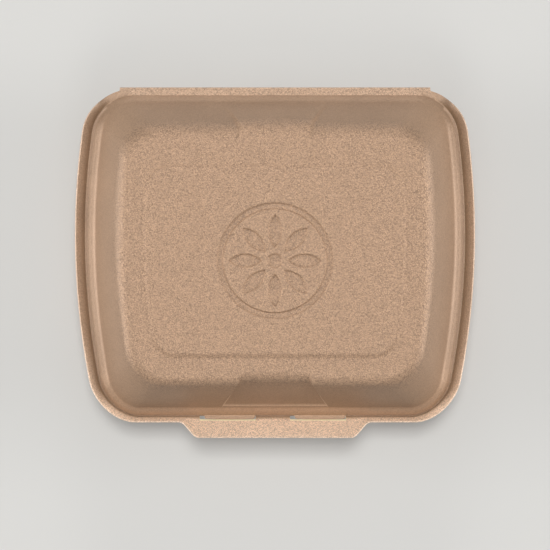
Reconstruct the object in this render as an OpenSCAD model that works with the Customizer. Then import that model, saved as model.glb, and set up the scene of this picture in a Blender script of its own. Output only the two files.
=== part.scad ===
// Disposable lunch box with a hinged lid, formed in one piece from a foam sheet.
// It lies closed on its base. X runs across the front, Y runs back to the hinge, Z is up.
// The origin is under the middle of the box, on the surface that it stands on.

/* [Box] */
// Width over the tray's rim, at its widest place
rim_w = 240; // [215:1:270]
// Depth from the fold at the back to the rim's front edge
rim_d = 201.3; // [185:0.1:225]
// Distance from the rim's front edge back to the widest place
widest_at = 112.6; // [95:0.1:125]
// How far each side has drawn in when it reaches the front edge
side_bow = 14; // [4:0.5:20]
// Corner radius of the rim
rim_r = 25.5; // [22:0.5:30]
// Height of the tray, from its base to the ledge that carries the lid
tray_h = 37; // [30:0.5:50]
// Height of the lid over its own edge
lid_h = 36.7; // [28:0.1:48]

/* [Foam] */
// Thickness of the foam sheet
sheet = 2.2; // [1.6:0.1:2.6]
// Thickness where the sheet is pressed, at the cut edges and the hinge strips
edge_t = 1.2; // [0.8:0.1:1.5]

/* [Rim] */
// Width of the flared rim at the sides, seen from above
flare_side = 5.5; // [4.5:0.1:7]
// Width of the flared rim at the front, seen from above
flare_front = 3.45; // [3:0.05:5]
// How high the flared rim rises over the ledge
flare_h = 5; // [3:0.1:6]

/* [Lid] */
// Width of the skirt round the lid's foot, at the sides
skirt_side = 5.9; // [5:0.1:7]
// Width of the skirt at the front
skirt_front = 4.8; // [4.4:0.1:6]
// Width of the skirt at the back
skirt_back = 4.2; // [4.1:0.1:6]
// Height of the skirt
skirt_h = 5.2; // [4.5:0.1:7]
// How far the side walls lean in, from the skirt to the shoulder
lean_side = 17.5; // [12:0.5:22]
// How far the front wall leans in
lean_front = 16.6; // [12:0.1:22]
// How far the back wall leans in
lean_back = 18.9; // [12:0.1:22]
// Corner radius at the shoulder
shoulder_r = 21; // [16:0.5:26]
// Reach of the rounding over the shoulder, along each face
shoulder_round = 7; // [3:0.5:9]

/* [Raised panel] */
// Margin between the shoulder and the raised panel, at the sides
margin_side = 14.8; // [12:0.1:22]
// Margin in front of the raised panel
margin_front = 15.8; // [12:0.1:22]
// Margin behind the raised panel
margin_back = 21.4; // [12:0.1:26]
// Corner radius of the raised panel
panel_r = 13; // [8:0.5:18]
// How far the panel stands proud
panel_rise = 1; // [0.6:0.1:1.4]

/* [Thumb recess] */
// How far the middle of the front wall is set back at the shoulder, and the back wall stands out
facet_in = 2.7; // [1:0.1:4]
// Half width of the recess at the shoulder
facet_top = 20; // [16:0.5:26]
// Half width of the recess at the skirt
facet_foot = 32; // [28:0.5:40]

/* [Hinge] */
// Width of the flat strip at the back of the lid
strip_w = 4.8; // [4:0.1:6]
// Half length of the fold
fold_x = 93.3; // [80:0.1:96]
// How much longer the strip is on each side where it leaves the lid
strip_splay = 4; // [2:0.5:5]
// Clearance between the lid's edge and the ledge under it
seam_gap = 0.3; // [0.2:0.05:0.6]
// Clearance round the lid, inside the flared rim
nest_gap = 0.7; // [0.5:0.05:0.8]

/* [Lock] */
// How far the front tab reaches beyond the rim
tab_reach = 8.4; // [5:0.1:11]
// Half width of the tab at its tip
tab_tip = 45.5; // [44:0.5:50]
// How much wider the tab is at its root, on each side
tab_splay = 12; // [6:0.5:14]
// How high the tab's tip rises over the rim
tab_rise = 9.5; // [6:0.5:12]
// Distance of each tongue from the middle of the lid
tongue_from = 12; // [8:0.1:16]
// Length of each tongue
tongue_len = 30.3; // [24:0.1:31]
// How far the tongues stand out from the lid's edge
tongue_reach = 2.2; // [1.2:0.1:2.2]
// How much longer each slot is than its tongue, on the left
slot_play = 3; // [1:0.1:4]
// Height of the slots over the ledge
slot_h = 2.6; // [2.4:0.1:3.6]

/* [Medallion] */
// Outer radius of the engraved ring
medal_r = 33.5; // [26:0.5:38]
// Width of the engraved ring
medal_band = 3.4; // [2:0.1:5]
// Depth of the engraving
medal_depth = 0.8; // [0.4:0.1:1.2]
// Number of engraved petals
petals = 8; // [5:1:12]
// Distance from the middle to the petals
petal_from = 8; // [5:0.5:12]
// Length of a petal
petal_len = 18.5; // [12:0.5:19]
// Width of a petal
petal_w = 7.6; // [4:0.2:9]
// Radius of the engraved dot in the middle
medal_dot = 4; // [2:0.5:4.5]

/* [Hidden] */

gold = [0.78, 0.66, 0.52];
pale = [0.86, 0.76, 0.63];

// Steps along a corner, a side, the slope at a feature's end, and the rounding of an edge
corner_steps = 12;
side_steps = 8;
slope_steps = 5;
round_steps = 5;
// Half width of the slope at a facet's ends
facet_soft = 0.6;
// Where the rim's flare starts to run out beside the hinge, and over what distance
flare_end = 17;
flare_run = 14;
// Run of the slope round the raised panel
panel_slope = 2.6;
// Run of the skirt's steeper face, and how much lower it ends than the crease
skirt_run = 2.4;
skirt_dip = 1.6;
// Reach of the rounding at the tray's base, at small creases, and on the skirt
cove = 8;
crease = 1.2;
skirt_round = 1.4;
// Clearance at a slot's right end
slot_gap = 0.4;
// Corner radius of the tongues
tongue_r = 1;
// Clearance between the lid's strip and the hinge line
fold_gap = 0.05;
// How far a feature runs into the foam that it grows from
root = 1;
// Height of a cutter above the face that it cuts
over = 1;

fold_y = (rim_d + tab_reach) / 2;
front_y = fold_y - rim_d;
widest_y = front_y + widest_at;
bow = side_bow / pow(widest_at, 2);
fold_r = edge_t + seam_gap / 2;
axis_y = fold_y - fold_r;
axis_z = tray_h + seam_gap / 2;
lid_z = tray_h + seam_gap;
top_z = lid_z + lid_h;
shoulder_z = top_z - panel_rise;

// A ring is one level of the sheet: its outline from above, and what bends it.
// Its entries are the half width, the front, the back, the corner radius, the height,
// the lift (a rise that runs out towards the hinge), the shift of the front's middle,
// the shift of the back's middle, the rise of the front's middle, and half the width
// and half the end slope of that middle stretch.
W = 0;
F = 1;
B = 2;
R = 3;
Z = 4;
LIFT = 5;
SHIFT_F = 6;
SHIFT_B = 7;
RISE = 8;
HALF = 9;
SOFT = 10;

function ring(w, f, b, r, z, lift = 0, shift_f = 0, shift_b = 0, rise = 0, half = facet_foot,
    soft = facet_soft) = [w, f, b, r, z, lift, shift_f, shift_b, rise, half, soft];

// A plain ring, drawn in from another by its own amount at the sides, the front and the back
function drawn_in(k, side, front, back, r, z, half = facet_foot, soft = facet_soft) =
    ring(k[W] - side, k[F] + front, k[B] - back, r, z, half = half, soft = soft);

function reversed(list) = [for (i = [len(list) - 1:-1:0]) list[i]];

function smooth(t) = let (c = max(0, min(1, t))) c * c * (3 - 2 * c);

// Share of the flare at a distance from the hinge
function flare_share(y) = smooth((fold_y - y - flare_end + flare_run) / flare_run);

// Share of a middle stretch's shift and rise
function middle_share(k, x) = 1 - smooth((x - k[HALF] + k[SOFT]) / (2 * k[SOFT]));

// The sides bow: the width shrinks with the square of the distance from the widest place
function bow_share(y, w) = 1 - bow * pow(y - widest_y, 2) / w;

// Stations across half of the front or the back, which lies at y.
// They are close together at the ends of the middle stretch.
function stations(k, y) = let (
        end = (k[W] - k[R]) * bow_share(y, k[W]),
        fit = min(1, end / (k[HALF] + k[SOFT] + root)),
        inner = (k[HALF] - k[SOFT]) * fit,
        outer = (k[HALF] + k[SOFT]) * fit
    ) concat(
        [0, inner / 2],
        [for (i = [0:slope_steps]) inner + (outer - inner) * i / slope_steps],
        [(outer + end) / 2, end]
    );

// A quarter turn at a corner, without its two ends, as [across, along] shares of the radius
corner = [for (i = [1:corner_steps - 1]) let (a = 90 * i / corner_steps) [sin(a), cos(a)]];

// The right flank of a ring, before it bows: a corner, the side, and the other corner
function flank(k) = let (
        side_x = k[W] - k[R],
        side_f = k[F] + k[R],
        side_b = k[B] - k[R]
    ) concat(
        [for (c = corner) [side_x + k[R] * c[0], side_f - k[R] * c[1]]],
        [for (i = [0:side_steps]) [k[W], side_f + (side_b - side_f) * i / side_steps]],
        [for (c = corner) [side_x + k[R] * c[1], side_b + k[R] * c[0]]]
    );

// The right half of a ring, from the middle of the front to the middle of the back
function half_ring(k) = concat(
    [for (x = stations(k, k[F])) let (share = middle_share(k, x))
        [x, k[F] + k[SHIFT_F] * share, k[RISE] * share]],
    [for (p = flank(k)) [p[0] * bow_share(p[1], k[W]), p[1], 0]],
    [for (x = reversed(stations(k, k[B]))) [x, k[B] + k[SHIFT_B] * middle_share(k, x), 0]]
);

// All the points of a ring, anticlockwise from above
function ring_points(k) = let (right = half_ring(k), n = len(right) - 1)
    [for (p = concat(right, [for (i = [n - 1:-1:1]) [-right[i][0], right[i][1], right[i][2]]]))
        [p[0], p[1], k[Z] + k[LIFT] * flare_share(p[1]) + p[2]]];

function outline(k) = [for (p = ring_points(k)) [p[0], p[1]]];

// Section of the sheet at the side: how far in, and how high
function section(k) = [-k[W], k[Z] + k[LIFT]];
function below(a, b) = let (u = (section(b) - section(a)) / norm(section(b) - section(a)))
    [u[1], -u[0]];

// The ring under ring i of a path, one thickness away from both of the faces that meet there
function under_ring(path, i, t) = let (
        last = len(path) - 1,
        n1 = i == 0 ? below(path[0], path[1]) : below(path[i - 1], path[i]),
        n2 = i == last ? [0, -1] : below(path[i], path[i + 1]),
        m = t * (n1 + n2) / (1 + n1 * n2)
    ) path[i] + [-m[0], m[0], -m[0], -m[0], m[1], 0, 0, 0, 0, 0, 0];

// A path's under side, from a first ring of its own
function under_path(first, path, t) =
    concat([first], [for (i = [1:len(path) - 1]) under_ring(path, i, t)]);

// A path whose corners are rounded over the given reaches
function toward(a, b, d) = a + (b - a) * d / norm(section(b) - section(a));
function rounded_corner(a, b, c, d) = let (p = toward(b, a, d), q = toward(b, c, d))
    [for (i = [0:round_steps]) let (t = i / round_steps)
        p * pow(1 - t, 2) + b * 2 * t * (1 - t) + q * pow(t, 2)];
function rounded_path(path, reach) = [for (i = [0:len(path) - 1])
    each (reach[i] > 0 ? rounded_corner(path[i - 1], path[i], path[i + 1], reach[i]) : [path[i]])];

function lowered(k, d) = [for (i = [0:len(k) - 1]) k[i] - (i == Z ? d : 0)];

// Rings of the lid's upper face, from its edge to the raised panel
lid_edge = ring(rim_w / 2 - flare_side - nest_gap, front_y + flare_front + nest_gap,
    fold_y - strip_w, rim_r - flare_front, lid_z + edge_t);
lid_skirt = drawn_in(lid_edge, skirt_run, skirt_run, skirt_run, lid_edge[R] - skirt_run,
    lid_z + skirt_h - skirt_dip);
lid_crease = drawn_in(lid_edge, skirt_side, skirt_front, skirt_back, lid_edge[R] - skirt_front,
    lid_z + skirt_h);
lid_shoulder = ring(lid_crease[W] - lean_side, lid_crease[F] + lean_front,
    lid_crease[B] - lean_back, shoulder_r, shoulder_z,
    shift_f = facet_in, shift_b = facet_in, half = facet_top);
lid_panel_foot = drawn_in(lid_shoulder, margin_side - panel_slope / 2,
    margin_front - panel_slope / 2, margin_back - panel_slope / 2, panel_r + panel_slope / 2,
    shoulder_z, facet_top);
lid_panel = drawn_in(lid_panel_foot, panel_slope, panel_slope, panel_slope,
    panel_r - panel_slope / 2, top_z, facet_top);
lid_path = [lid_edge, lid_skirt, lid_crease, lid_shoulder, lid_panel_foot, lid_panel];

// Rings of the tray's upper face, from its rim to the base. Its walls lean as the lid's do.
tab_half = tab_tip + tab_splay / 2;
tab_soft = tab_splay / 2;
tray_lean = (tray_h - sheet) / (lid_h - skirt_h - panel_rise);
rim_edge = ring(rim_w / 2, front_y, axis_y, rim_r, tray_h, lift = flare_h,
    shift_f = -tab_reach, rise = tab_rise, half = tab_half, soft = tab_soft);
seat_edge = drawn_in(lid_edge, -nest_gap, -nest_gap, -nest_gap, lid_edge[R] + nest_gap, tray_h,
    tab_half, tab_soft);
tray_mouth = drawn_in(lid_crease, 0, 0, 0, lid_crease[R], tray_h, tab_half, tab_soft);
base_edge = drawn_in(tray_mouth, lean_side * tray_lean, lean_front * tray_lean,
    lean_back * tray_lean, shoulder_r, sheet, tab_half, tab_soft);
base_panel_foot = drawn_in(base_edge, margin_side - panel_slope / 2,
    margin_front - panel_slope / 2, margin_back - panel_slope / 2, panel_r + panel_slope / 2,
    sheet, tab_half, tab_soft);
base_panel = drawn_in(base_panel_foot, panel_slope, panel_slope, panel_slope,
    panel_r - panel_slope / 2, sheet + panel_rise, tab_half, tab_soft);
tray_path = [rim_edge, seat_edge, tray_mouth, base_edge, base_panel_foot, base_panel];

// A closed skin through rings, with a flat face at each end
module skin(rings) {
    last = len(rings) - 1;
    count = len(ring_points(rings[0]));
    hub = (last + 1) * count;
    hubs = [for (k = [rings[0], rings[last]]) [0, (k[F] + k[B]) / 2, k[Z]]];
    points = concat([for (k = rings) each ring_points(k)], hubs);
    walls = [for (i = [0:last - 1], j = [0:count - 1]) let (
            a = i * count + j,
            b = i * count + (j + 1) % count
        ) each [[a, b, b + count], [a, b + count, a + count]]];
    first_face = [for (j = [0:count - 1]) [hub, (j + 1) % count, j]];
    last_face = [for (j = [0:count - 1]) [hub + 1, hub - count + j, hub - count + (j + 1) % count]];
    polyhedron(points = points, faces = concat(first_face, walls, last_face), convexity = 6);
}

module tray_shell() {
    reach = [0, crease, crease, cove, 0, 0];
    lining = under_path(lowered(rim_edge, edge_t), tray_path, sheet);
    skin(concat(reversed(rounded_path(tray_path, reach)), rounded_path(lining, reach)));
}

module lid_shell() {
    reach = [0, skirt_round, crease, shoulder_round, 0, 0];
    inner_reach = [0, 0, crease, shoulder_round - crease, 0, 0];
    edge_under = under_ring(lid_path, 0, sheet);
    foot = lowered(edge_under, edge_under[Z] - lid_z);
    lining = under_path(foot, lid_path, sheet);
    skin(concat(reversed(rounded_path(lid_path, reach)), [lowered(lid_edge, edge_t)],
        rounded_path(lining, inner_reach)));
}

// Left ends of the two tongues
tongue_starts = [-tongue_from - tongue_len, tongue_from];

// Windows through the flared front, which the lid's tongues sit in
module slots() {
    depth = 2 * flare_front + root;
    for (x = tongue_starts)
        translate([x - slot_play, seat_edge[F] + root - depth, tray_h])
            cube([tongue_len + slot_play + slot_gap, depth, slot_h]);
}

module tongues() {
    for (x = tongue_starts)
        translate([x, lid_edge[F] - tongue_reach, lid_z])
            linear_extrude(height = edge_t) {
                translate([0, tongue_r]) square([tongue_len, tongue_reach + root - tongue_r]);
                translate([tongue_r, 0]) square([tongue_len - 2 * tongue_r, tongue_reach]);
                for (c = [tongue_r, tongue_len - tongue_r])
                    translate([c, tongue_r]) circle(r = tongue_r, $fn = 32);
            }
}

// The flat strip between the lid's skirt and the fold
module hinge_strip() {
    far = axis_y - fold_gap;
    near = fold_y - strip_w - skirt_back;
    translate([0, 0, lid_z])
        linear_extrude(height = edge_t)
            difference() {
                polygon([[-fold_x, far], [-fold_x - strip_splay, near],
                    [fold_x + strip_splay, near], [fold_x, far]]);
                polygon(outline(drawn_in(lid_edge, root, root, root, lid_edge[R] - root, 0)));
            }
}

// A lens from the middle outwards, between two arcs
module petal(length, width, depth) {
    arc_r = (pow(length, 2) + pow(width, 2)) / (4 * width);
    intersection_for (side = [-1, 1])
        translate([length / 2, side * (arc_r - width / 2), 0])
            cylinder(r = arc_r, h = depth, $fn = 96);
}

// A plain ornament engraved in the raised panel
module medallion() {
    depth = medal_depth + over;
    translate([0, (lid_panel[F] + lid_panel[B]) / 2, top_z - medal_depth]) {
        difference() {
            cylinder(r = medal_r, h = depth, $fn = 96);
            translate([0, 0, -over]) cylinder(r = medal_r - medal_band, h = depth + 2 * over, $fn = 96);
        }
        for (i = [0:petals - 1])
            rotate(360 * i / petals)
                translate([petal_from, 0, 0]) petal(petal_len, petal_w, depth);
        cylinder(r = medal_dot, h = depth, $fn = 48);
    }
}

module tray() {
    color(gold) difference() {
        tray_shell();
        slots();
    }
}

module lid() {
    color(gold) difference() {
        union() {
            lid_shell();
            tongues();
            hinge_strip();
        }
        medallion();
    }
}

// The pressed fold: half a turn of thin foam behind the hinge line
module live_hinge() {
    color(pale)
        translate([-fold_x, axis_y, axis_z])
            rotate([90, 0, 90])
                linear_extrude(height = 2 * fold_x)
                    difference() {
                        circle(r = fold_r, $fn = 48);
                        circle(r = seam_gap / 2, $fn = 24);
                        translate([-2 * fold_r, -fold_r]) square(2 * fold_r);
                    }
}

tray();
lid();
live_hinge();
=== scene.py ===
"""A disposable lunch box: one sheet of gold-skinned foam, formed as a tray and a hinged lid."""

import math
from dataclasses import dataclass, replace

import bmesh
import bpy
import numpy as np
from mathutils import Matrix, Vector


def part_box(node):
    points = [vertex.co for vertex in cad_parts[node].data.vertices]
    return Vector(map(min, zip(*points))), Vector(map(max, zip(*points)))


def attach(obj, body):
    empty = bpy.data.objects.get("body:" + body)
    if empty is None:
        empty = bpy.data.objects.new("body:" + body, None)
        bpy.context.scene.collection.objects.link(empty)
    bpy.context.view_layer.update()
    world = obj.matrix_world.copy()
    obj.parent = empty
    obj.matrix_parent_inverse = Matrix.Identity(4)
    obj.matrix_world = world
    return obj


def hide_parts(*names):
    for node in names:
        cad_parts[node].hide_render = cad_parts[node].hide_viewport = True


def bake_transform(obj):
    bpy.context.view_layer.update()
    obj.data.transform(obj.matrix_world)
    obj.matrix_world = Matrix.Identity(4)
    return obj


bl_info = {
    "name": "Foam lunch box",
    "version": (1, 0, 0),
    "blender": (4, 5, 0),
    "location": "View3D > Sidebar > Lunch box",
    "description": "Models a hinged foam lunch box over its packed solids, with its stage",
    "category": "Add Mesh",
}

MM = 0.001

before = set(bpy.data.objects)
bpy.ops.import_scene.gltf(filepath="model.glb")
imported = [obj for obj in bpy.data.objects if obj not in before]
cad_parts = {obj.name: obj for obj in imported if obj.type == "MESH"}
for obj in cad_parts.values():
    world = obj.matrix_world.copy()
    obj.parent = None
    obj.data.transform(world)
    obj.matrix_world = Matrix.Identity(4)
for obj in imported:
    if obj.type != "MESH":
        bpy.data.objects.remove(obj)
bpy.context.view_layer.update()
RIM_LOW, RIM_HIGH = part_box("tray")
_, FOLD_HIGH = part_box("live_hinge")


def linear(hex_colour):
    """An sRGB hex colour as linear red, green and blue."""
    shares = [int(hex_colour[i : i + 2], 16) / 255 for i in (1, 3, 5)]
    return [s / 12.92 if s <= 0.04045 else ((s + 0.055) / 1.055) ** 2.4 for s in shares]


def length(name, description, mm):
    """A length setting, with its default in millimetres."""
    return bpy.props.FloatProperty(
        name=name, description=description, default=mm * MM, unit="LENGTH", precision=5
    )


def colour(name, description, hex_colour):
    """A colour setting, with its default as an sRGB hex value."""
    return bpy.props.FloatVectorProperty(
        name=name,
        description=description,
        default=linear(hex_colour),
        subtype="COLOR",
        size=3,
        min=0,
        max=1,
    )


def share(name, description, default):
    """A setting from 0 to 1."""
    return bpy.props.FloatProperty(
        name=name, description=description, default=default, subtype="FACTOR", min=0, max=1
    )


class ShellSizes(bpy.types.PropertyGroup):
    """Outlines and sections of the tray and the lid."""

    rim_w: length("Rim width", "Widest place of the tray's rim", (RIM_HIGH.x - RIM_LOW.x) / MM)
    front_y: length("Rim front", "Place of the rim's front edge", -96.45)
    fold_y: length("Fold", "Place of the outside of the fold", FOLD_HIGH.y / MM)
    widest_y: length("Widest place", "Where the rim is widest", 16.15)
    side_bow: length("Side bow", "How far each side has drawn in at the front", 14)
    rim_r: length("Rim corner", "Corner radius of the rim", 25.5)
    tray_h: length("Tray height", "Height of the seat that the lid rests on", 37)
    lid_h: length("Lid height", "Height of the lid alone", 36.7)
    sheet: length("Sheet", "Thickness of the foam", 2.2)
    edge_t: length("Edge", "Thickness of the pressed edges", 1.2)
    flare_side: length("Flare, sides", "Run of the rim's flare at the sides", 5.5)
    flare_front: length("Flare, front", "Run of the rim's flare at the front", 3.45)
    flare_h: length("Flare height", "Rise of the rim over the seat", 5)
    flare_end: length("Flare's end", "Distance from the fold at which the flare is whole", 17)
    flare_run: length("Flare's fade", "Distance over which the flare fades out", 14)
    skirt_side: length("Skirt, sides", "Run of the lid's skirt at the sides", 5.9)
    skirt_front: length("Skirt, front", "Run of the lid's skirt at the front", 4.8)
    skirt_back: length("Skirt, back", "Run of the lid's skirt at the back", 4.2)
    skirt_h: length("Skirt height", "Rise of the lid's skirt", 5.2)
    skirt_run: length("Skirt foot", "Run of the skirt's steeper face", 2.4)
    skirt_dip: length("Skirt dip", "How much lower that face ends than the skirt", 1.6)
    lean_side: length("Lean, sides", "Run of the lid's side walls", 17.5)
    lean_front: length("Lean, front", "Run of the lid's front wall", 16.6)
    lean_back: length("Lean, back", "Run of the lid's back wall", 18.9)
    shoulder_r: length("Shoulder corner", "Corner radius at the shoulders, from above", 21)
    shoulder_round: length("Shoulder rounding", "Reach of the rounding at the shoulders", 7)
    margin_side: length("Margin, sides", "From the shoulder to the raised panel", 14.8)
    margin_front: length("Margin, front", "From the front shoulder to the raised panel", 15.8)
    margin_back: length("Margin, back", "From the back shoulder to the raised panel", 21.4)
    panel_r: length("Panel corner", "Corner radius of the raised panel", 13)
    panel_rise: length("Panel rise", "Height of the raised panel", 1)
    panel_slope: length("Panel slope", "Run of the slope round the raised panel", 2.6)
    facet_in: length("Facet depth", "Shift of the middle of the front and back walls", 2.7)
    facet_top: length("Facet top", "Half the facet's width at the shoulder", 20)
    facet_foot: length("Facet foot", "Half the facet's width at the foot", 32)
    facet_soft: length("Facet side", "Half the width of the slope at a facet's side", 0.6)


class FittingSizes(bpy.types.PropertyGroup):
    """The hinge strip, the tab, the slots and the tongues."""

    strip_w: length("Hinge strip", "Width of the flat strip beside the fold", 4.8)
    fold_x: length("Fold length", "Half the length of the fold", 93.3)
    strip_splay: length("Strip splay", "How much wider the strip is at the lid", 4)
    seam_gap: length("Seam gap", "Space between the lid and the seat", 0.3)
    nest_gap: length("Nest gap", "Space round the lid's edge", 0.7)
    tab_reach: length("Tab reach", "How far the tab stands out from the rim", 8.4)
    tab_tip: length("Tab tip", "Half the tab's width at its tip", 45.5)
    tab_splay: length("Tab splay", "How much wider the tab is at its root", 12)
    tab_rise: length("Tab rise", "Height of the tab's tip over the rim", 9.5)
    tongue_from: length("Tongue start", "From the middle to a tongue's inner end", 12)
    tongue_len: length("Tongue length", "Length of each tongue", 30.3)
    tongue_reach: length("Tongue reach", "How far a tongue stands out of the lid", 2.2)
    tongue_belly: length("Tongue belly", "How far a tongue's middle bulges", 0.25)
    slot_play: length("Slot play", "Spare length at a slot's left end", 3)
    slot_gap: length("Slot gap", "Spare length at a slot's right end", 0.4)
    slot_h: length("Slot height", "Height of the slots", 2.6)
    lip: length("Slot lip", "Width of the bare foam along a slot's upper edge", 0.7)


class MedallionSizes(bpy.types.PropertyGroup):
    """The plain ornament pressed into the raised panel."""

    medal_r: length("Ring radius", "Outside radius of the pressed ring", 33.5)
    medal_band: length("Ring band", "Width of the pressed ring", 3.4)
    medal_depth: length("Depth", "Depth of the ornament", 0.9)
    medal_edge: length("Edge", "Width of the slope at the ornament's edges", 1.0)
    petals: bpy.props.IntProperty(name="Petals", description="Number of petals", default=8)
    petal_from: length("Petal start", "From the middle to a petal's tip", 8)
    petal_len: length("Petal length", "Length of a petal", 18.5)
    petal_w: length("Petal width", "Width of a petal", 7.6)
    medal_dot: length("Dot radius", "Radius of the dot in the middle", 4)


class FoamFinish(bpy.types.PropertyGroup):
    """Colours and grain of the foam, with light and shade painted into some of the colours."""

    skin: colour("Skin", "The skin where the sheet stays flat", "#AF8E72")
    # Darker colour of the walls: partly the thinner skin where the mould draws it out, partly
    # painted shade for walls turned from the light.
    stretched: colour("Stretched skin", "The skin where the mould stretches it", "#9A7D64")
    # Pale colour painted on as light: on the flare and the tab, as a painted highlight on the
    # pressed lines, and on the lid's lower edge and the hinge strip.
    rim: colour("Rim", "The paler skin of the rim, the tab and the pressed lines", "#F2D3B8")
    cut: colour("Cut edge", "The foam where it is cut", "#FFF4CF")
    gloss: share("Roughness", "Roughness of the skin", 0.48)
    pearl: share("Pearl", "How much of the skin's light comes off its pearl pigment", 0.3)
    grain: length("Grain", "Distance between the cells that show in the skin", 0.6)
    contrast: share("Contrast", "How far the skin's brightness varies from cell to cell", 1)


class StageSettings(bpy.types.PropertyGroup):
    """The floor, the lamps and the camera."""

    floor: colour("Floor", "Colour of the floor", "#C9C8C5")
    sky: share("Sky", "Strength of the light from all round", 0.22)
    camera_h: length("Camera height", "Height of the camera over the floor", 1051)
    camera_y: length("Camera place", "Place of the camera from back to front", -8.05)
    lens: bpy.props.FloatProperty(
        name="Lens", description="Focal length on a 36 mm sensor", default=110.27, unit="CAMERA"
    )


# Numbers of the two materials of a piece
SKIN = 0
CUT = 1
# Steps of a ring round one of its corners, and along one of its sides
CORNER_STEPS = 18
SIDE_STEPS = 22
# Steps of the sheet's section round a bend, and along a long straight stretch
ROUND_STEPS = 6
WALL_STEPS = 8
# Length of the short step that keeps a stretch straight beside a bend
SUPPORT = 0.5 * MM
# Slack for telling whether a place lies on the panel or on the hinge strip
SLACK = 0.1 * MM
# The least angle between two faces that is shaded as a sharp edge
SHARP = math.radians(40)
# How much of the grain shows where the mould stretches the skin
STRETCHED_GRAIN = 0.4
# How much of the rim's pale colour is painted on as light: a painted highlight on the pressed lines,
# painted light on the lid's lower edge, which the rim shades, and on the hinge strip and the fold
LINE_PAINTED_HIGHLIGHT = 0.4
EDGE_PAINTED_LIGHT = 0.55
STRIP_PAINTED_LIGHT = 0.25
# Half the floor's width in metres, and the width of the camera's sensor in millimetres
FLOOR_HALF = 3
SENSOR_W = 36
# The softboxes: place and width in metres, and power in watts
SOFTBOXES = {
    "softbox_left": ((-2.0, 0.0, 0.45), 0.9, 29.5),
    "softbox_right": ((2.0, 0.0, 0.45), 0.9, 28.5),
    "softbox_front": ((0, -0.9, 0.85), 0.5, 2.4),
    "softbox_back": ((0, 2.0, 0.6), 0.7, 11.5),
    "softbox_top": ((0, 0.5, 2.6), 0.7, 38.5),
}


@dataclass(frozen=True)
class Ring:
    """One level of the sheet: its outline from above, and what bends it.

    w is half its width, f and b are its front and back, r its corners' radius and z its height.
    lift raises it, but for its back. The middle of its front and of its back, which ends at half to
    each side and fades within soft of that, is moved by shift_f and shift_b. rise lifts that middle
    of the front.
    """

    w: float
    f: float
    b: float
    r: float
    z: float
    lift: float = 0.0
    shift_f: float = 0.0
    shift_b: float = 0.0
    rise: float = 0.0
    half: float = 0.0
    soft: float = 1.0

    def drawn_in(self, side, front, back, r, z, half, soft):
        """A plain ring, drawn in by its own amount at the sides, the front and the back."""
        return Ring(self.w - side, self.f + front, self.b - back, r, z, half=half, soft=soft)


def smooth(t):
    """Smoothstep of t, which may be an array."""
    c = np.clip(t, 0, 1)
    return c * c * (3 - 2 * c)


def ramp(value, start, run):
    """Goes smoothly from 0 at start to 1 at start + run. The run may be negative."""
    return smooth((value - start) / run)


class Outliner:
    """Lays out the rings of one half of the box."""

    def __init__(self, sizes):
        self.s = sizes
        self.bow = sizes.side_bow / (sizes.widest_y - sizes.front_y) ** 2

    def bow_share(self, y, w):
        """How much of its half width w a ring keeps at y, because its sides bow."""
        return 1 - self.bow * (y - self.s.widest_y) ** 2 / w

    def corner_x(self, ring, y):
        """Where the front or the back of a ring, at y, meets its corner."""
        return (ring.w - ring.r) * self.bow_share(y, ring.w)

    def points(self, ring, right, left, back):
        """The ring's points, anticlockwise from the middle of the front.

        right, left and back hold the distances of its columns from the middle.
        """
        side_x = ring.w - ring.r
        side_f = ring.f + ring.r
        side_b = ring.b - ring.r
        turn = np.radians(90) * np.arange(1, CORNER_STEPS) / CORNER_STEPS
        along = np.linspace(side_f, side_b, SIDE_STEPS + 1)
        over = ring.r * np.sin(turn)
        down = ring.r * np.cos(turn)

        def middle(x, amount):
            return amount * (1 - smooth((np.abs(x) - ring.half + ring.soft) / (2 * ring.soft)))

        def flank(sign):
            x = np.concatenate([side_x + over, np.full(SIDE_STEPS + 1, ring.w), side_x + down])
            y = np.concatenate([side_f - down, along, side_b + over])
            return sign * x * self.bow_share(y, ring.w), y

        front_r, front_l = np.array(right), -np.array(left[:0:-1])
        rear = np.concatenate([back[::-1], -np.array(back[1:])])
        right_x, right_y = flank(1)
        left_x, left_y = flank(-1)
        x = np.concatenate([front_r, right_x, rear, left_x[::-1], front_l])
        y = np.concatenate(
            [
                ring.f + middle(front_r, ring.shift_f),
                right_y,
                ring.b + middle(rear, ring.shift_b),
                left_y[::-1],
                ring.f + middle(front_l, ring.shift_f),
            ]
        )
        risen = np.zeros(len(x))
        risen[: len(front_r)] = middle(front_r, ring.rise)
        risen[len(x) - len(front_l) :] = middle(front_l, ring.rise)
        s = self.s
        flare = smooth((s.fold_y - y - s.flare_end + s.flare_run) / s.flare_run)
        return np.stack([x, y, ring.z + ring.lift * flare + risen], axis=1)


def stretches(knots, counts):
    """Places from knot to knot, with the given number of steps in each stretch."""
    parts = [np.linspace(a, b, n, endpoint=False) for a, b, n in zip(knots, knots[1:], counts)]
    return np.concatenate([*parts, [knots[-1]]])


def unit(v):
    """The vectors in v, each made one long."""
    return v / np.linalg.norm(v, axis=-1, keepdims=True)


def faces_under(rings):
    """The direction off the under side, for each stretch between two rings."""
    tangents = [np.roll(k, -1, axis=0) - np.roll(k, 1, axis=0) for k in rings]
    return [
        -unit(np.cross(ta + tb, b - a))
        for a, b, ta, tb in zip(rings, rings[1:], tangents, tangents[1:])
    ]


def lining(rings, thickness):
    """The under side of rings: each corner is one thickness away from both of its faces."""
    off = faces_under(rings)
    down = np.zeros_like(off[0]) + [0, 0, -1]
    before = [off[0]] + off
    after = off + [down]
    return [
        k + thickness * (a + b) / (1 + np.sum(a * b, axis=1, keepdims=True))
        for k, a, b in zip(rings, before, after)
    ]


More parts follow.
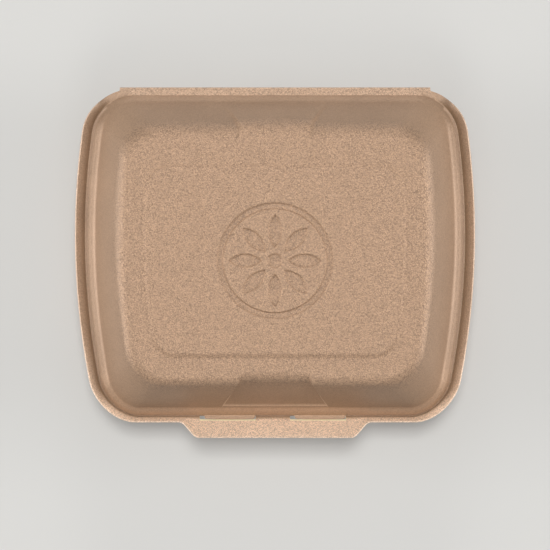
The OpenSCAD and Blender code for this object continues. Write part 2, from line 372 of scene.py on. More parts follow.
def rounded(rings, reaches):
    """The levels through rings whose corners are rounded over the given reaches."""
    levels = []
    for i, (k, reach) in enumerate(zip(rings, reaches)):
        if np.max(reach) == 0:
            levels.append(k)
            continue
        p = k + unit(rings[i - 1] - k) * reach
        q = k + unit(rings[i + 1] - k) * reach
        for t in np.linspace(0, 1, ROUND_STEPS + 1):
            levels.append(p * (1 - t) ** 2 + k * 2 * t * (1 - t) + q * t * t)
    return levels


def filled(levels, longest):
    """Adds levels on the long stretches, the first and last of them close to the bends."""
    out = [levels[0]]
    for a, b in zip(levels, levels[1:]):
        span = np.median(np.linalg.norm(b - a, axis=1))
        if span > longest:
            edge = SUPPORT / span
            for t in [edge, *np.linspace(0, 1, WALL_STEPS + 1)[1:-1], 1 - edge]:
                out.append(a + (b - a) * t)
        out.append(b)
    return out


def sweep(bm, levels):
    """Draws a skin: a loop of edges is extruded from each level to the next. Gives the loops."""
    loop = bmesh.ops.create_circle(bm, segments=len(levels[0]), radius=1)["verts"]
    edges = list({e for v in loop for e in v.link_edges})
    loops = [loop]
    for _ in levels[1:]:
        made = bmesh.ops.extrude_edge_only(bm, edges=edges)["geom"]
        fresh = {v for v in made if isinstance(v, bmesh.types.BMVert)}
        edges = [
            e for e in made if isinstance(e, bmesh.types.BMEdge) and fresh.issuperset(e.verts)
        ]
        ends = [[e.other_vert(v) for e in v.link_edges] for v in loops[-1]]
        loops.append([next(v for v in near if v in fresh) for near in ends])
    for loop, level in zip(loops, levels):
        for v, place in zip(loop, level):
            v.co = place
    return loops


def level_of(levels, ring):
    """The number of the level that is that very ring."""
    return next(i for i, level in enumerate(levels) if level is ring)


def close_end(bm, loop):
    """Closes a loop with a fan round a new middle."""
    edges = [e for v in loop for e in v.link_edges if e.is_boundary]
    made = bmesh.ops.edgeloop_fill(bm, edges=list(set(edges)))["faces"]
    bmesh.ops.poke(bm, faces=made)


def faces_between(bm, loops, level, columns):
    """The faces from one level to the next, at the given columns."""
    upper, lower = loops[level], loops[level + 1]
    n = len(upper)
    return [
        bm.faces.get((upper[j % n], upper[(j + 1) % n], lower[(j + 1) % n], lower[j % n]))
        for j in columns
    ]


def cut_window(bm, loops, top_levels, under_levels, columns):
    """Cuts a window through the sheet and lines it with its cut faces."""
    rims = []
    for levels in (top_levels, under_levels):
        gone = [f for i in range(*levels) for f in faces_between(bm, loops, i, columns)]
        around = {e for f in gone for e in f.edges}
        rims += [e for e in around if sum(f in gone for f in e.link_faces) == 1]
        bmesh.ops.delete(bm, geom=gone, context="FACES")
    return bmesh.ops.bridge_loops(bm, edges=rims)["faces"]


def drawn_out(bm, faces, place):
    """Extrudes faces and sends each new vertex to the place that it is given.

    Of the faces that this makes, the steep ones are bare foam.
    """
    steep = 0.5
    made = bmesh.ops.extrude_face_region(bm, geom=faces)["geom"]
    bmesh.ops.delete(bm, geom=faces, context="FACES_ONLY")
    for v in made:
        if isinstance(v, bmesh.types.BMVert):
            v.co = place(v.co)
    around = {f for v in made if isinstance(v, bmesh.types.BMVert) for f in v.link_faces}
    for f in around:
        f.normal_update()
        f.material_index = CUT if abs(f.normal.z) < steep else SKIN


def finish_mesh(bm):
    """Turns the faces outwards, and shades them smooth but for the sharp edges."""
    bmesh.ops.recalc_face_normals(bm, faces=bm.faces)
    for f in bm.faces:
        f.smooth = True
    for e in bm.edges:
        if len(e.link_faces) == 2 and e.calc_face_angle() > SHARP:
            e.smooth = False


def add_piece(name, bm, materials, nodes):
    """Makes the mesh an object that stands for CAD nodes."""
    mesh = bpy.data.meshes.new(name)
    bm.to_mesh(mesh)
    bm.free()
    piece = bpy.data.objects.new(name, mesh)
    bpy.context.scene.collection.objects.link(piece)
    for material in materials:
        mesh.materials.append(material)
    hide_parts(*nodes)
    return piece


def set_skin(piece, **shares_of):
    """Stores shares of the foam's look at each vertex, each worked out from the vertex's place."""
    places = np.array([v.co for v in piece.data.vertices])
    for name, share_of in shares_of.items():
        layer = piece.data.attributes.new(name, "FLOAT", "POINT")
        layer.data.foreach_set("value", share_of(*places.T).astype(np.float32))


def grain_where(flat):
    """How much of the grain shows, by how flat the sheet has stayed."""
    return STRETCHED_GRAIN + (1 - STRETCHED_GRAIN) * flat


def add_node(tree, kind, inputs=None, **settings):
    """Adds a node, with its properties and its inputs: values, or sockets to link from."""
    node = tree.nodes.new(kind)
    for key, value in settings.items():
        setattr(node, key, value)
    for key, value in (inputs or {}).items():
        if isinstance(value, bpy.types.NodeSocket):
            tree.links.new(value, node.inputs[key])
        else:
            node.inputs[key].default_value = value
    return node


def new_material(name):
    """An empty node material, and its output node."""
    material = bpy.data.materials.new(name)
    material.use_nodes = True
    material.node_tree.nodes.clear()
    return material, add_node(material.node_tree, "ShaderNodeOutputMaterial")


def foam_skin():
    """Expanded polystyrene sheet with a pearl-gold pigment, rolled to a closed satin skin.

    The cells under the skin are a few tenths of a millimetre across, and are drawn a little coarser
    so that they show. Where the sheet stays flat they give a pebble grain that sparkles, and where
    the mould stretches the walls the skin is pulled smooth.
    """
    finish = bpy.context.scene.lunch_finish
    pebble_edge = 0.75
    pebble_share = 0.55
    cloud_size = 40 * MM
    ripple_pace = 0.6
    ripple_share = 1.5
    bump_height = 0.25 * MM
    material, output = new_material("pearl_gold_foam_skin")
    tree = material.node_tree
    place = add_node(tree, "ShaderNodeTexCoord").outputs["Object"]
    grain = add_node(tree, "ShaderNodeAttribute", attribute_name="grain").outputs["Fac"]
    stretch = add_node(tree, "ShaderNodeAttribute", attribute_name="stretch").outputs["Fac"]
    rim = add_node(tree, "ShaderNodeAttribute", attribute_name="rim").outputs["Fac"]
    # The darker wall colour goes where the skin is drawn out; it is partly painted shade.
    formed = add_node(
        tree,
        "ShaderNodeMix",
        {"Factor": stretch, "A": [*finish.skin, 1], "B": [*finish.stretched, 1]},
        data_type="RGBA",
    )
    # The rim colour is painted light: it stands in for light and highlights on the rim, the tab, the
    # lines, the lid's lower edge and the strip.
    plain = add_node(
        tree,
        "ShaderNodeMix",
        {"Factor": rim, "A": formed.outputs["Result"], "B": [*finish.rim, 1]},
        data_type="RGBA",
    )
    cells = add_node(
        tree, "ShaderNodeTexVoronoi", {"Vector": place, "Scale": 1 / finish.grain}, feature="F1"
    )
    chance = add_node(tree, "ShaderNodeSeparateColor", {"Color": cells.outputs["Color"]})
    pebble = add_node(
        tree,
        "ShaderNodeMapRange",
        {"Value": cells.outputs["Distance"], "From Max": pebble_edge, "To Min": 1.0, "To Max": 0.0},
    )
    pebble_tone = add_node(
        tree,
        "ShaderNodeMix",
        {"Factor": pebble_share, "A": chance.outputs["Red"], "B": pebble.outputs["Result"]},
    )
    cloud = add_node(
        tree, "ShaderNodeTexNoise", {"Vector": place, "Scale": 1 / cloud_size, "Detail": 3.0}
    )
    even = add_node(
        tree,
        "ShaderNodeMapRange",
        {
            "Value": cloud.outputs["Fac"],
            "From Min": 0.3,
            "From Max": 0.7,
            "To Min": 0.4,
            "To Max": 0.6,
        },
    )
    cell_tone = add_node(
        tree,
        "ShaderNodeMix",
        {"Factor": grain, "A": even.outputs["Result"], "B": pebble_tone.outputs["Result"]},
    )
    speckle = add_node(
        tree,
        "ShaderNodeMapRange",
        {
            "Value": cell_tone.outputs["Result"],
            "To Min": 1 - finish.contrast / 2,
            "To Max": 1 + finish.contrast / 2,
        },
    )
    skin = add_node(
        tree,
        "ShaderNodeVectorMath",
        {"Vector": plain.outputs["Result"], "Scale": speckle.outputs["Result"]},
        operation="SCALE",
    )
    ripple = add_node(
        tree,
        "ShaderNodeTexNoise",
        {"Vector": place, "Scale": ripple_pace / finish.grain, "Detail": 2.0},
    )
    height = add_node(
        tree,
        "ShaderNodeMath",
        {0: ripple.outputs["Fac"], 1: ripple_share, 2: cells.outputs["Distance"]},
        operation="MULTIPLY_ADD",
    )
    depth = add_node(
        tree, "ShaderNodeMath", {0: grain, 1: height.outputs["Value"]}, operation="MULTIPLY"
    )
    bump = add_node(
        tree,
        "ShaderNodeBump",
        {"Height": depth.outputs["Value"], "Strength": 0.7, "Distance": bump_height},
    )
    # Where light is painted in, the pearl's metallic share is taken off too.
    bare = add_node(tree, "ShaderNodeMath", {0: 1.0, 1: rim}, operation="SUBTRACT")
    pearl = add_node(
        tree, "ShaderNodeMath", {0: bare.outputs["Value"], 1: finish.pearl}, operation="MULTIPLY"
    )
    shader = add_node(
        tree,
        "ShaderNodeBsdfPrincipled",
        {
            "Base Color": skin.outputs["Vector"],
            "Metallic": pearl.outputs["Value"],
            "Roughness": finish.gloss,
            "IOR": 1.55,
            "Normal": bump.outputs["Normal"],
        },
    )
    tree.links.new(shader.outputs["BSDF"], output.inputs["Surface"])
    return material


def cut_foam():
    """Expanded polystyrene where a die has cut it: pale, matt, and open-celled."""
    finish = bpy.context.scene.lunch_finish
    cell_size = 0.35 * MM
    cell_height = 0.1 * MM
    material, output = new_material("cut_foam_edge")
    tree = material.node_tree
    place = add_node(tree, "ShaderNodeTexCoord").outputs["Object"]
    cells = add_node(tree, "ShaderNodeTexVoronoi", {"Vector": place, "Scale": 1 / cell_size})
    bump = add_node(
        tree,
        "ShaderNodeBump",
        {"Height": cells.outputs["Distance"], "Strength": 0.4, "Distance": cell_height},
    )
    shader = add_node(
        tree,
        "ShaderNodeBsdfPrincipled",
        {
            "Base Color": [*finish.cut, 1],
            "Roughness": 0.7,
            "IOR": 1.5,
            "Normal": bump.outputs["Normal"],
        },
    )
    tree.links.new(shader.outputs["BSDF"], output.inputs["Surface"])
    return material


def shared_material(name, maker):
    """The material of that name, made once."""
    return bpy.data.materials.get(name) or maker()


def foam_materials():
    """The materials of each piece, in the order of SKIN and CUT."""
    return [
        shared_material("pearl_gold_foam_skin", foam_skin),
        shared_material("cut_foam_edge", cut_foam),
    ]


def lid_rings(shell, fit):
    """The control rings of the lid's upper side, from its edge to the raised panel."""
    s = shell
    lid_z = s.tray_h + fit.seam_gap
    top_z = lid_z + s.lid_h
    shoulder_z = top_z - s.panel_rise
    run = s.skirt_run
    low, high = s.facet_foot, s.facet_top
    soft = s.facet_soft
    edge = Ring(
        s.rim_w / 2 - s.flare_side - fit.nest_gap,
        s.front_y + s.flare_front + fit.nest_gap,
        s.fold_y - fit.strip_w,
        s.rim_r - s.flare_front,
        lid_z + s.edge_t,
        half=low,
        soft=soft,
    )
    skirt = edge.drawn_in(run, run, run, edge.r - run, lid_z + s.skirt_h - s.skirt_dip, low, soft)
    crease = edge.drawn_in(
        s.skirt_side,
        s.skirt_front,
        s.skirt_back,
        edge.r - s.skirt_front,
        lid_z + s.skirt_h,
        low,
        soft,
    )
    shoulder = crease.drawn_in(
        s.lean_side, s.lean_front, s.lean_back, s.shoulder_r, shoulder_z, high, soft
    )
    shoulder = replace(shoulder, shift_f=s.facet_in, shift_b=s.facet_in)
    slope = s.panel_slope
    foot = shoulder.drawn_in(
        s.margin_side - slope / 2,
        s.margin_front - slope / 2,
        s.margin_back - slope / 2,
        s.panel_r + slope / 2,
        shoulder_z,
        high,
        soft,
    )
    panel = foot.drawn_in(slope, slope, slope, s.panel_r - slope / 2, top_z, high, soft)
    return [edge, skirt, crease, shoulder, foot, panel]


def lid_columns(ring, end, edge_end, shell, fit):
    """The distances of a lid ring's columns from its middle, as far as its end.

    They follow the facet's sides, and are close together at the corners of a tongue.
    """
    counts = [4, 1, 1, 5, 2, 5, 2, 1, 1, 9]
    inner = shell.facet_foot - shell.facet_soft
    outer = shell.facet_foot + shell.facet_soft
    tip = fit.tongue_from + fit.tongue_len
    turn = 1 * MM
    early = 0.3 * turn
    knots = [
        0,
        fit.tongue_from,
        fit.tongue_from + early,
        fit.tongue_from + turn,
        inner,
        outer,
        tip - 3 * turn,
        tip - turn,
        tip - early,
        tip,
        edge_end,
    ]
    here = [0, ring.half - ring.soft, ring.half + ring.soft, end]
    there = [0, inner, outer, edge_end]
    return np.interp(stretches(knots, counts), there, here)


def build_lid():
    """The lid: skirt, walls, shoulders, raised panel with its ornament, tongues and strip."""
    scene = bpy.context.scene
    s, fit, medal = scene.lunch_shell, scene.lunch_fittings, scene.lunch_medallion
    rings = lid_rings(s, fit)
    edge, panel = rings[0], rings[-1]
    outliner = Outliner(s)
    corner_x = outliner.corner_x
    top = []
    for ring in rings:
        front = lid_columns(ring, corner_x(ring, ring.f), corner_x(edge, edge.f), s, fit)
        back = lid_columns(ring, corner_x(ring, ring.b), corner_x(edge, edge.b), s, fit)
        top.append(outliner.points(ring, front, front, back))
    under = lining(top, s.sheet)
    edge_low = top[0] - [0, 0, s.edge_t]
    foot = under[0].copy()
    foot[:, 2] = edge.z - s.edge_t
    count = len(top[0])
    turns = np.radians(-90 + 360 * np.arange(count) / count)
    around = np.stack([np.cos(turns), np.sin(turns), np.zeros(count)], axis=1)
    middle = np.array([0, (panel.f + panel.b) / 2, panel.z])

    def circle(radius):
        return middle + around * radius

    # The back shoulder is rounder than the front one.
    half_depth = 70 * MM
    rounder_back = 0.35
    backward = np.clip(top[3][:, 1:2] / half_depth, -1, 1)
    shoulder_round = s.shoulder_round * (1 + rounder_back * backward)
    # The edge is almost square where a tongue is drawn out of it.
    half_tongue = fit.tongue_len / 2
    from_tongue = np.abs(np.abs(top[0][:, :1]) - fit.tongue_from - half_tongue)
    at_tongue = (from_tongue < half_tongue + 0.01 * MM) & (top[0][:, 1:2] < 0)
    edge_round = np.where(at_tongue, 0.02 * MM, 0.3 * MM)
    panel_round = 0.9 * MM
    crease_round = 2 * MM
    skirt_round = 1.9 * MM
    collar = 2 * MM
    outside = rounded(
        [circle(medal.medal_r + collar), *top[::-1], edge_low],
        [0, panel_round, panel_round, shoulder_round, crease_round, skirt_round, edge_round, 0],
    )
    inner_foot = 0.1 * MM
    inner_crease = 1.6 * MM
    inner_shoulder = shoulder_round - 1.2 * MM
    inner_panel = 0.5 * MM
    inside = rounded(
        [edge_low, foot, *under[1:], circle(medal.medal_r) - [0, 0, s.sheet]],
        [0, inner_foot, 0, inner_crease, inner_shoulder, inner_panel, inner_panel, 0],
    )
    first_radius = 0.5 * MM
    past_ring = 1.5 * MM
    radius_step = 0.8 * MM
    radii = np.arange(first_radius, medal.medal_r + past_ring, radius_step)
    polar = [circle(r) for r in radii]
    longest = 6 * MM
    levels = polar + filled(outside, longest)
    edge_level = len(levels) - 2
    levels += filled(inside, longest)[1:]
    bm = bmesh.new()
    loops = sweep(bm, levels)
    close_end(bm, loops[0])
    close_end(bm, loops[-1])
    cut_faces = faces_between(bm, loops, edge_level, range(count))
    for f in cut_faces:
        f.material_index = CUT
    make_tongues(bm, cut_faces, fit, edge)
    make_strip(bm, cut_faces, s, fit, edge)
    emboss(bm, loops[: len(polar)], middle, medal)
    finish_mesh(bm)
    lid = add_piece("lid_foam", bm, foam_materials(), ["lid"])
    dress_lid(lid, rings, s, crease_round)
    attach(lid, "lid")


def dress_lid(lid, rings, shell, crease_round):
    """Says where the lid's skin stays flat, where it is drawn out, and where light and shade are
    painted in.
    """
    s = shell
    edge, _, crease, shoulder, _, panel = rings
    strip_y = edge.b - SLACK
    front_wall_y = -60 * MM
    foot_line = 0.5 * MM
    # Painted light on the front of the skirt: it keeps the lighter flat colour, while the rest of
    # the skirt keeps the darker wall colour.
    painted_light_skirt = 0.8

    def facet_line(x, y, z):
        """The pressed lines along the sides and the foot of the front facet."""
        height = z - crease.z - crease_round
        wall = shoulder.z - crease.z
        half = s.facet_foot + (s.facet_top - s.facet_foot) * (z - crease.z) / wall
        beside = np.abs(np.abs(x) - half)
        on_side = ramp(beside, start=s.facet_soft, run=-s.facet_soft)
        above_foot = ramp(height, start=-1 * MM, run=1 * MM)
        on_foot = ramp(np.abs(height), start=foot_line, run=-foot_line) * (np.abs(x) < half)
        on_wall = ramp(z, start=shoulder.z, run=-4 * MM) * (y < front_wall_y)
        return np.maximum(on_side * above_foot, on_foot) * on_wall

    def flat_share(x, y, z):
        """The raised panel, its margin and the hinge strip."""
        return np.maximum(ramp(z, start=panel.z - 6 * MM, run=5.5 * MM), y > strip_y)

    def near_top(z):
        """The panel, its margin and the upper part of the walls."""
        return ramp(z, start=panel.z - 14 * MM, run=13 * MM)

    def loose_and_lit_share(x, y, z):
        """Where the darker wall colour (partly painted shade) is left off: the flat places, and the
        front of the skirt, where leaving it off is painted light.
        """
        skirt = ramp(z, start=crease.z + 1 * MM, run=-1 * MM)
        front = ramp(y, start=-55 * MM, run=-20 * MM) * (y > edge.f - 0.5 * MM)
        return np.maximum(flat_share(x, y, z), painted_light_skirt * skirt * front)

    def painted_light_share(x, y, z):
        """Painted light: a painted highlight on the front facet's lines, and light painted on the
        lower skirt at the sides and on the hinge strip.
        """
        low = ramp(z, start=edge.z + 2.2 * MM, run=-2 * MM) * (y < edge.b - 8 * MM)
        by_edge = EDGE_PAINTED_LIGHT * low * ramp(y, start=edge.f + 8 * MM, run=24 * MM)
        strip = STRIP_PAINTED_LIGHT * (y > strip_y)
        return np.maximum.reduce([LINE_PAINTED_HIGHLIGHT * facet_line(x, y, z), by_edge, strip])

    set_skin(
        lid,
        grain=lambda x, y, z: grain_where(np.maximum(flat_share(x, y, z), near_top(z))),
        stretch=lambda x, y, z: 1 - loose_and_lit_share(x, y, z),
        rim=painted_light_share,
    )


def petal_depth(x, y, medal):
    """How far inside the nearest petal's outline a point is."""
    turn = 2 * math.pi / medal.petals
    angle = np.arctan2(y, x)
    angle -= turn * np.round(angle / turn)
    radius = np.hypot(x, y)
    along = radius * np.cos(angle) - medal.petal_from - medal.petal_len / 2
    across = np.abs(radius * np.sin(angle))
    arc = (medal.petal_len**2 + medal.petal_w**2) / (4 * medal.petal_w)
    return arc - np.hypot(along, across + arc - medal.petal_w / 2)


def emboss(bm, loops, middle, medal):
    """Presses the ornament into the middle of the panel, which it first divides more finely."""
    inner = {v for loop in loops for v in loop}
    edges = [e for e in bm.edges if inner.issuperset(e.verts)]
    bmesh.ops.subdivide_edges(bm, edges=edges, cuts=1, use_grid_fill=True)
    verts = [v for v in bm.verts if v.co.z > middle[2] - SLACK]
    x, y, _ = (np.array([v.co for v in verts]) - middle).T
    radius = np.hypot(x, y)
    half_band = medal.medal_band / 2
    in_ring = half_band - np.abs(radius - medal.medal_r + half_band)
    inside = np.maximum(in_ring, petal_depth(x, y, medal))
    inside = np.maximum(inside, medal.medal_dot - radius)
    drop = medal.medal_depth * smooth(inside / medal.medal_edge + 0.5)
    for v, d in zip(verts, drop):
        v.co.z -= d


def make_tongues(bm, cut_faces, fit, edge):
    """Draws the two front tongues out of the lid's cut edge."""
    corner = 1 * MM
    front_end = edge.f + 1 * MM

    def place(co):
        inset = min(abs(co.x) - fit.tongue_from, fit.tongue_from + fit.tongue_len - abs(co.x))
        e = corner - min(max(inset, 0.0), corner)
        swell = fit.tongue_belly * math.sin(math.pi * inset / fit.tongue_len)
        out = fit.tongue_reach - corner + math.sqrt(max(corner**2 - e**2, 0.0)) + swell
        return (co.x, co.y - out, co.z)

    for side in (-1, 1):
        faces = [
            f
            for f in cut_faces
            if f.is_valid
            and f.calc_center_median().y < front_end
            and 0 < side * f.calc_center_median().x - fit.tongue_from < fit.tongue_len
        ]
        drawn_out(bm, faces, place)


def make_strip(bm, cut_faces, shell, fit, edge):
    """Draws the flat hinge strip out of the lid's cut edge, as far as the fold."""
    clear = 0.05 * MM
    inset = 1 * MM
    splay_run = 6 * MM
    fold = shell.fold_y - shell.edge_t - fit.seam_gap / 2 - clear
    root_x = fit.fold_x + fit.strip_splay - inset
    start = edge.w - edge.r - splay_run

    def place(co):
        beyond = max(abs(co.x) - start, 0.0)
        x = min(abs(co.x), start) + beyond * (fit.fold_x - start) / (root_x - start)
        z = edge.z if co.z > edge.z - shell.edge_t / 2 else edge.z - shell.edge_t
        return (math.copysign(x, co.x), fold, z)

    faces = [
        f
        for f in cut_faces
        if f.is_valid
        and f.calc_center_median().y > 0
        and all(abs(v.co.x) < root_x for v in f.verts)
    ]
    drawn_out(bm, faces, place)


def tray_columns(end, knots, counts):
    """The distances of a tray ring's columns from its middle, as far as its end.

    On a short ring they draw in, so that some are left beyond the tab.
    """
    farthest = 0.9
    here = [0, min(knots[-2], farthest * end), end]
    return np.interp(stretches(knots, counts), [0, knots[-2], knots[-1]], here)


def tray_rings(shell, fit, lid):
    """The control rings of the tray's upper side, from its rim to the base."""
    s = shell
    lid_edge, _, lid_crease = lid[:3]
    half = fit.tab_tip + fit.tab_splay / 2
    soft = fit.tab_splay / 2
    lean = (s.tray_h - s.sheet) / (s.lid_h - s.skirt_h - s.panel_rise)
    rim = Ring(
        s.rim_w / 2,
        s.front_y,
        s.fold_y - s.edge_t - fit.seam_gap / 2,
        s.rim_r,
        s.tray_h,
        lift=s.flare_h,
        shift_f=-fit.tab_reach,
        rise=fit.tab_rise,
        half=half,
        soft=soft,
    )
    gap = -fit.nest_gap
    seat = lid_edge.drawn_in(gap, gap, gap, lid_edge.r - gap, s.tray_h, half, soft)
    mouth = lid_crease.drawn_in(0, 0, 0, lid_crease.r, s.tray_h, half, soft)
    base = mouth.drawn_in(
        s.lean_side * lean,
        s.lean_front * lean,
        s.lean_back * lean,
        s.shoulder_r,
        s.sheet,
        half,
        soft,
    )
    slope = s.panel_slope
    foot = base.drawn_in(
        s.margin_side - slope / 2,
        s.margin_front - slope / 2,
        s.margin_back - slope / 2,
        s.panel_r + slope / 2,
        s.sheet,
        half,
        soft,
    )
    top_z = s.sheet + s.panel_rise
    panel = foot.drawn_in(slope, slope, slope, s.panel_r - slope / 2, top_z, half, soft)
    return [rim, seat, mouth, base, foot, panel]


def build_tray():
    """The tray: base, walls, seat, flared rim, tab and slots."""
    scene = bpy.context.scene
    s, fit = scene.lunch_shell, scene.lunch_fittings
    rings = tray_rings(s, fit, lid_rings(s, fit))
    rim = rings[0]
    outliner = Outliner(s)
    tip = fit.tongue_from + fit.tongue_len
    corner = outliner.corner_x(rim, rim.f)
    root = fit.tab_tip + fit.tab_splay
    right_knots = [0, fit.tongue_from - fit.slot_play, tip + fit.slot_gap, fit.tab_tip, root, corner]
    left_knots = [0, fit.tongue_from - fit.slot_gap, tip + fit.slot_play, fit.tab_tip, root, corner]
    counts = [4, 8, 2, 9, 7]
    top = []
    for ring in rings:
        end = outliner.corner_x(ring, ring.f)
        right = tray_columns(end, right_knots, counts)
        left = tray_columns(end, left_knots, counts)
        back = np.linspace(0, outliner.corner_x(ring, ring.b), sum(counts) + 1)
        top.append(outliner.points(ring, right, left, back))
    off = faces_under(top)[0]
    under = lining(top, s.sheet)
    rim_top = top[0] - s.edge_t * off * [1, 1, 0]
    rim_low = top[0] + s.edge_t * off * [0, 0, 1]
    slot_top = rim_top + (top[1] - rim_top) * (1 - fit.slot_h / (s.flare_h + fit.tab_rise))
    edge_round = 0.15 * MM
    bend = 1.2 * MM
    cove = 8 * MM
    panel_round = 0.6 * MM
    lip = slot_top + unit(rim_top - slot_top) * fit.lip
    path = [*top[:0:-1], slot_top, lip, rim_top]
    inside = rounded(path, [0, panel_round, cove, bend, edge_round, 0, 0, 0])
    # On the under side the slots' windows reach from behind slot_top in to the seat.
    start_y, end_y, slot_y = rim_low[0, 1], under[1][0, 1], slot_top[0, 1]
    first_share = (slot_y - start_y) / (end_y - start_y)
    last_share = 0.95
    window = [
        rim_low + (under[1] - rim_low) * t
        for t in np.linspace(first_share, last_share, ROUND_STEPS + 2)
    ]
    outside = rounded(
        [rim_top, rim_low, *window, *under[1:]],
        [0, edge_round, *[0] * len(window), bend, bend, cove, panel_round, 0],
    )
    longest = 8 * MM
    levels = filled(inside, longest) + filled(outside, longest)[1:]
    bm = bmesh.new()
    loops = sweep(bm, levels)
    close_end(bm, loops[0])
    close_end(bm, loops[-1])
    cut_faces = []
    top_end = level_of(levels, slot_top)
    top_span = (top_end - ROUND_STEPS - 1, top_end)
    window_end = level_of(levels, window[-1]) + ROUND_STEPS + 1
    under_span = (level_of(levels, window[0]), window_end)
    first, last = counts[0], counts[0] + counts[1]
    for columns in (range(first, last), range(-last, -first)):
        cut_faces += faces_between(bm, loops, top_end, columns)
        cut_faces += cut_window(bm, loops, top_span, under_span, columns)
    for f in cut_faces:
        f.material_index = CUT
    finish_mesh(bm)
    tray = add_piece("tray_foam", bm, foam_materials(), ["tray"])
    # The rim's pale colour is painted light, reaching lower at the front and fading towards the
    # back.
    lower_front = 0.9 * MM
    back_fade = 0.55

    def rim_painted_light_share(x, y, z):
        """The flare and the tab, where a pale colour is painted in as light. It starts lower at the
        front, and fades towards the back.
        """
        front = ramp(y, start=rim.f + 22 * MM, run=-14 * MM)
        backward = ramp(y, start=-90 * MM, run=60 * MM)
        lowest = s.tray_h + 1 * MM - lower_front * front
        return ramp(z, start=lowest, run=2 * MM) * (1 - back_fade * backward)

    def base_share(x, y, z):
        """The base and the foot of the walls."""
        return ramp(z, start=9 * MM, run=-6 * MM)

    # The walls get the darker wall colour, which is partly painted shade.
    set_skin(
        tray,
        grain=lambda x, y, z: grain_where(np.maximum(base_share(x, y, z), rim_painted_light_share(x, y, z))),
        stretch=lambda x, y, z: 1 - base_share(x, y, z),
        rim=rim_painted_light_share,
    )
    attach(tray, "tray")


def build_fold():
    """The pressed fold: thin foam that turns from the tray's strip up to the lid's."""
    scene = bpy.context.scene
    s, fit = scene.lunch_shell, scene.lunch_fittings
    axis_z = s.tray_h + fit.seam_gap / 2
    axis_y = s.fold_y - s.edge_t - fit.seam_gap / 2
    long_steps = 60
    thick_steps = 3
    turn_steps = 14
    bm = bmesh.new()
    bmesh.ops.create_grid(bm, x_segments=long_steps, y_segments=thick_steps, size=0.5)
    for v in bm.verts:
        across = v.co.y + 0.5
        v.co = (v.co.x * 2 * fit.fold_x, axis_y, axis_z - fit.seam_gap / 2 - across * s.edge_t)
    bmesh.ops.spin(
        bm,
        geom=bm.verts[:] + bm.edges[:] + bm.faces[:],
        cent=(0, axis_y, axis_z),
        axis=(1, 0, 0),
        angle=math.pi,
        steps=turn_steps,
        use_merge=False,
    )
    finish_mesh(bm)
    fold = add_piece("fold_foam", bm, foam_materials(), ["live_hinge"])
    # The fold gets the hinge strip's painted light.
    set_skin(
        fold,
        grain=lambda x, y, z: np.ones_like(x),
        stretch=lambda x, y, z: np.zeros_like(x),
        rim=lambda x, y, z: np.full_like(x, STRIP_PAINTED_LIGHT),
    )
    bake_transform(fold)


def matt_floor(paint):
    """A painted board: plain, pale and matt."""
    material, output = new_material("pale_painted_board")
    shader = add_node(
        material.node_tree,
        "ShaderNodeBsdfPrincipled",
        {"Base Color": [*paint, 1], "Roughness": 0.85},
    )
    material.node_tree.links.new(shader.outputs["BSDF"], output.inputs["Surface"])
    return material


def add_softbox(name, place, target, size, power):
    """A soft square lamp at a place, turned to a target."""
    lamp = bpy.data.lights.new(name, "AREA")
    lamp.size = size
    lamp.energy = power
    box = bpy.data.objects.new(name, lamp)
    bpy.context.scene.collection.objects.link(box)
    aim = Vector(target) - Vector(place)
    box.location = place
    box.rotation_euler = aim.to_track_quat("-Z", "Y").to_euler()


def build_stage():
    """The floor, the lamps, the sky and the camera over the lid."""
    scene = bpy.context.scene
    stage = scene.lunch_stage
    bm = bmesh.new()
    bmesh.ops.create_grid(bm, x_segments=2, y_segments=2, size=FLOOR_HALF)
    mesh = bpy.data.meshes.new("floor")
    bm.to_mesh(mesh)
    bm.free()
    floor = bpy.data.objects.new("floor", mesh)
    scene.collection.objects.link(floor)
    mesh.materials.append(matt_floor(stage.floor))
    sky = bpy.data.worlds.new("studio")
    sky.use_nodes = True
    background = sky.node_tree.nodes["Background"]
    background.inputs["Color"].default_value = (1, 1, 1, 1)
    background.inputs["Strength"].default_value = stage.sky
    scene.world = sky
    middle = (0, 0, 0.05)
    for name, (place, width, power) in SOFTBOXES.items():
        add_softbox(name, place, middle, width, power)
    camera = bpy.data.objects.new("camera", bpy.data.cameras.new("camera"))
    camera.data.lens = stage.lens
    camera.data.sensor_width = SENSOR_W
    camera.location = (0, stage.camera_y, stage.camera_h)
    scene.collection.objects.link(camera)
    scene.camera = camera
    scene.view_settings.view_transform = "Standard"


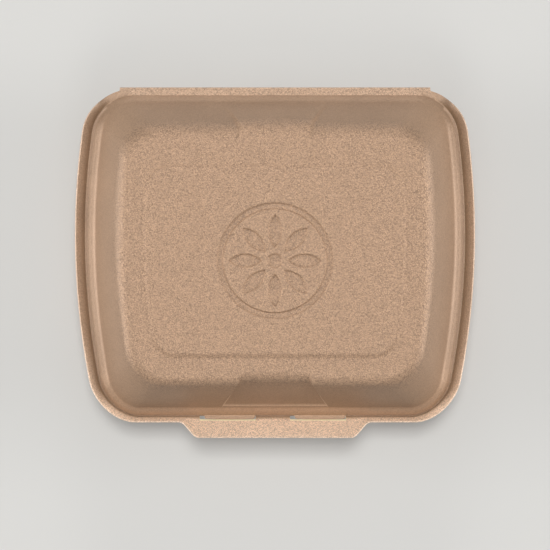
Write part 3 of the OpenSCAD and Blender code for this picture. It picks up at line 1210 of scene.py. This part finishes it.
class LUNCH_OT_tray(bpy.types.Operator):
    """Model the tray with its flared rim, tab and slots"""

    bl_idname = "lunch.tray"
    bl_label = "Tray"

    def execute(self, context):
        build_tray()
        return {"FINISHED"}


class LUNCH_OT_lid(bpy.types.Operator):
    """Model the lid with its raised panel, ornament, tongues and hinge strip"""

    bl_idname = "lunch.lid"
    bl_label = "Lid"

    def execute(self, context):
        build_lid()
        return {"FINISHED"}


class LUNCH_OT_fold(bpy.types.Operator):
    """Model the pressed fold that joins the tray and the lid"""

    bl_idname = "lunch.fold"
    bl_label = "Fold"

    def execute(self, context):
        build_fold()
        return {"FINISHED"}


class LUNCH_OT_stage(bpy.types.Operator):
    """Set out the floor, the lamps and the camera"""

    bl_idname = "lunch.stage"
    bl_label = "Stage"

    def execute(self, context):
        build_stage()
        return {"FINISHED"}


class LUNCH_PT_panel(bpy.types.Panel):
    """The lunch box's pieces and settings"""

    bl_idname = "LUNCH_PT_panel"
    bl_label = "Lunch box"
    bl_space_type = "VIEW_3D"
    bl_region_type = "UI"
    bl_category = "Lunch box"

    def draw(self, context):
        for operator in OPERATORS:
            self.layout.operator(operator.bl_idname)
        for name in SETTINGS:
            group = getattr(context.scene, name)
            column = self.layout.column(align=True)
            for key in group.__annotations__:
                column.prop(group, key)


OPERATORS = (LUNCH_OT_tray, LUNCH_OT_lid, LUNCH_OT_fold, LUNCH_OT_stage)
SETTINGS = {
    "lunch_shell": ShellSizes,
    "lunch_fittings": FittingSizes,
    "lunch_medallion": MedallionSizes,
    "lunch_finish": FoamFinish,
    "lunch_stage": StageSettings,
}


def register():
    for cls in (*SETTINGS.values(), *OPERATORS, LUNCH_PT_panel):
        bpy.utils.register_class(cls)
    for name, group in SETTINGS.items():
        setattr(bpy.types.Scene, name, bpy.props.PointerProperty(type=group))


def unregister():
    for name in SETTINGS:
        delattr(bpy.types.Scene, name)
    for cls in (LUNCH_PT_panel, *OPERATORS, *SETTINGS.values()):
        bpy.utils.unregister_class(cls)


def main():
    register()
    bpy.ops.lunch.stage()
    bpy.ops.lunch.tray()
    bpy.ops.lunch.lid()
    bpy.ops.lunch.fold()


if __name__ == "__main__":
    main()
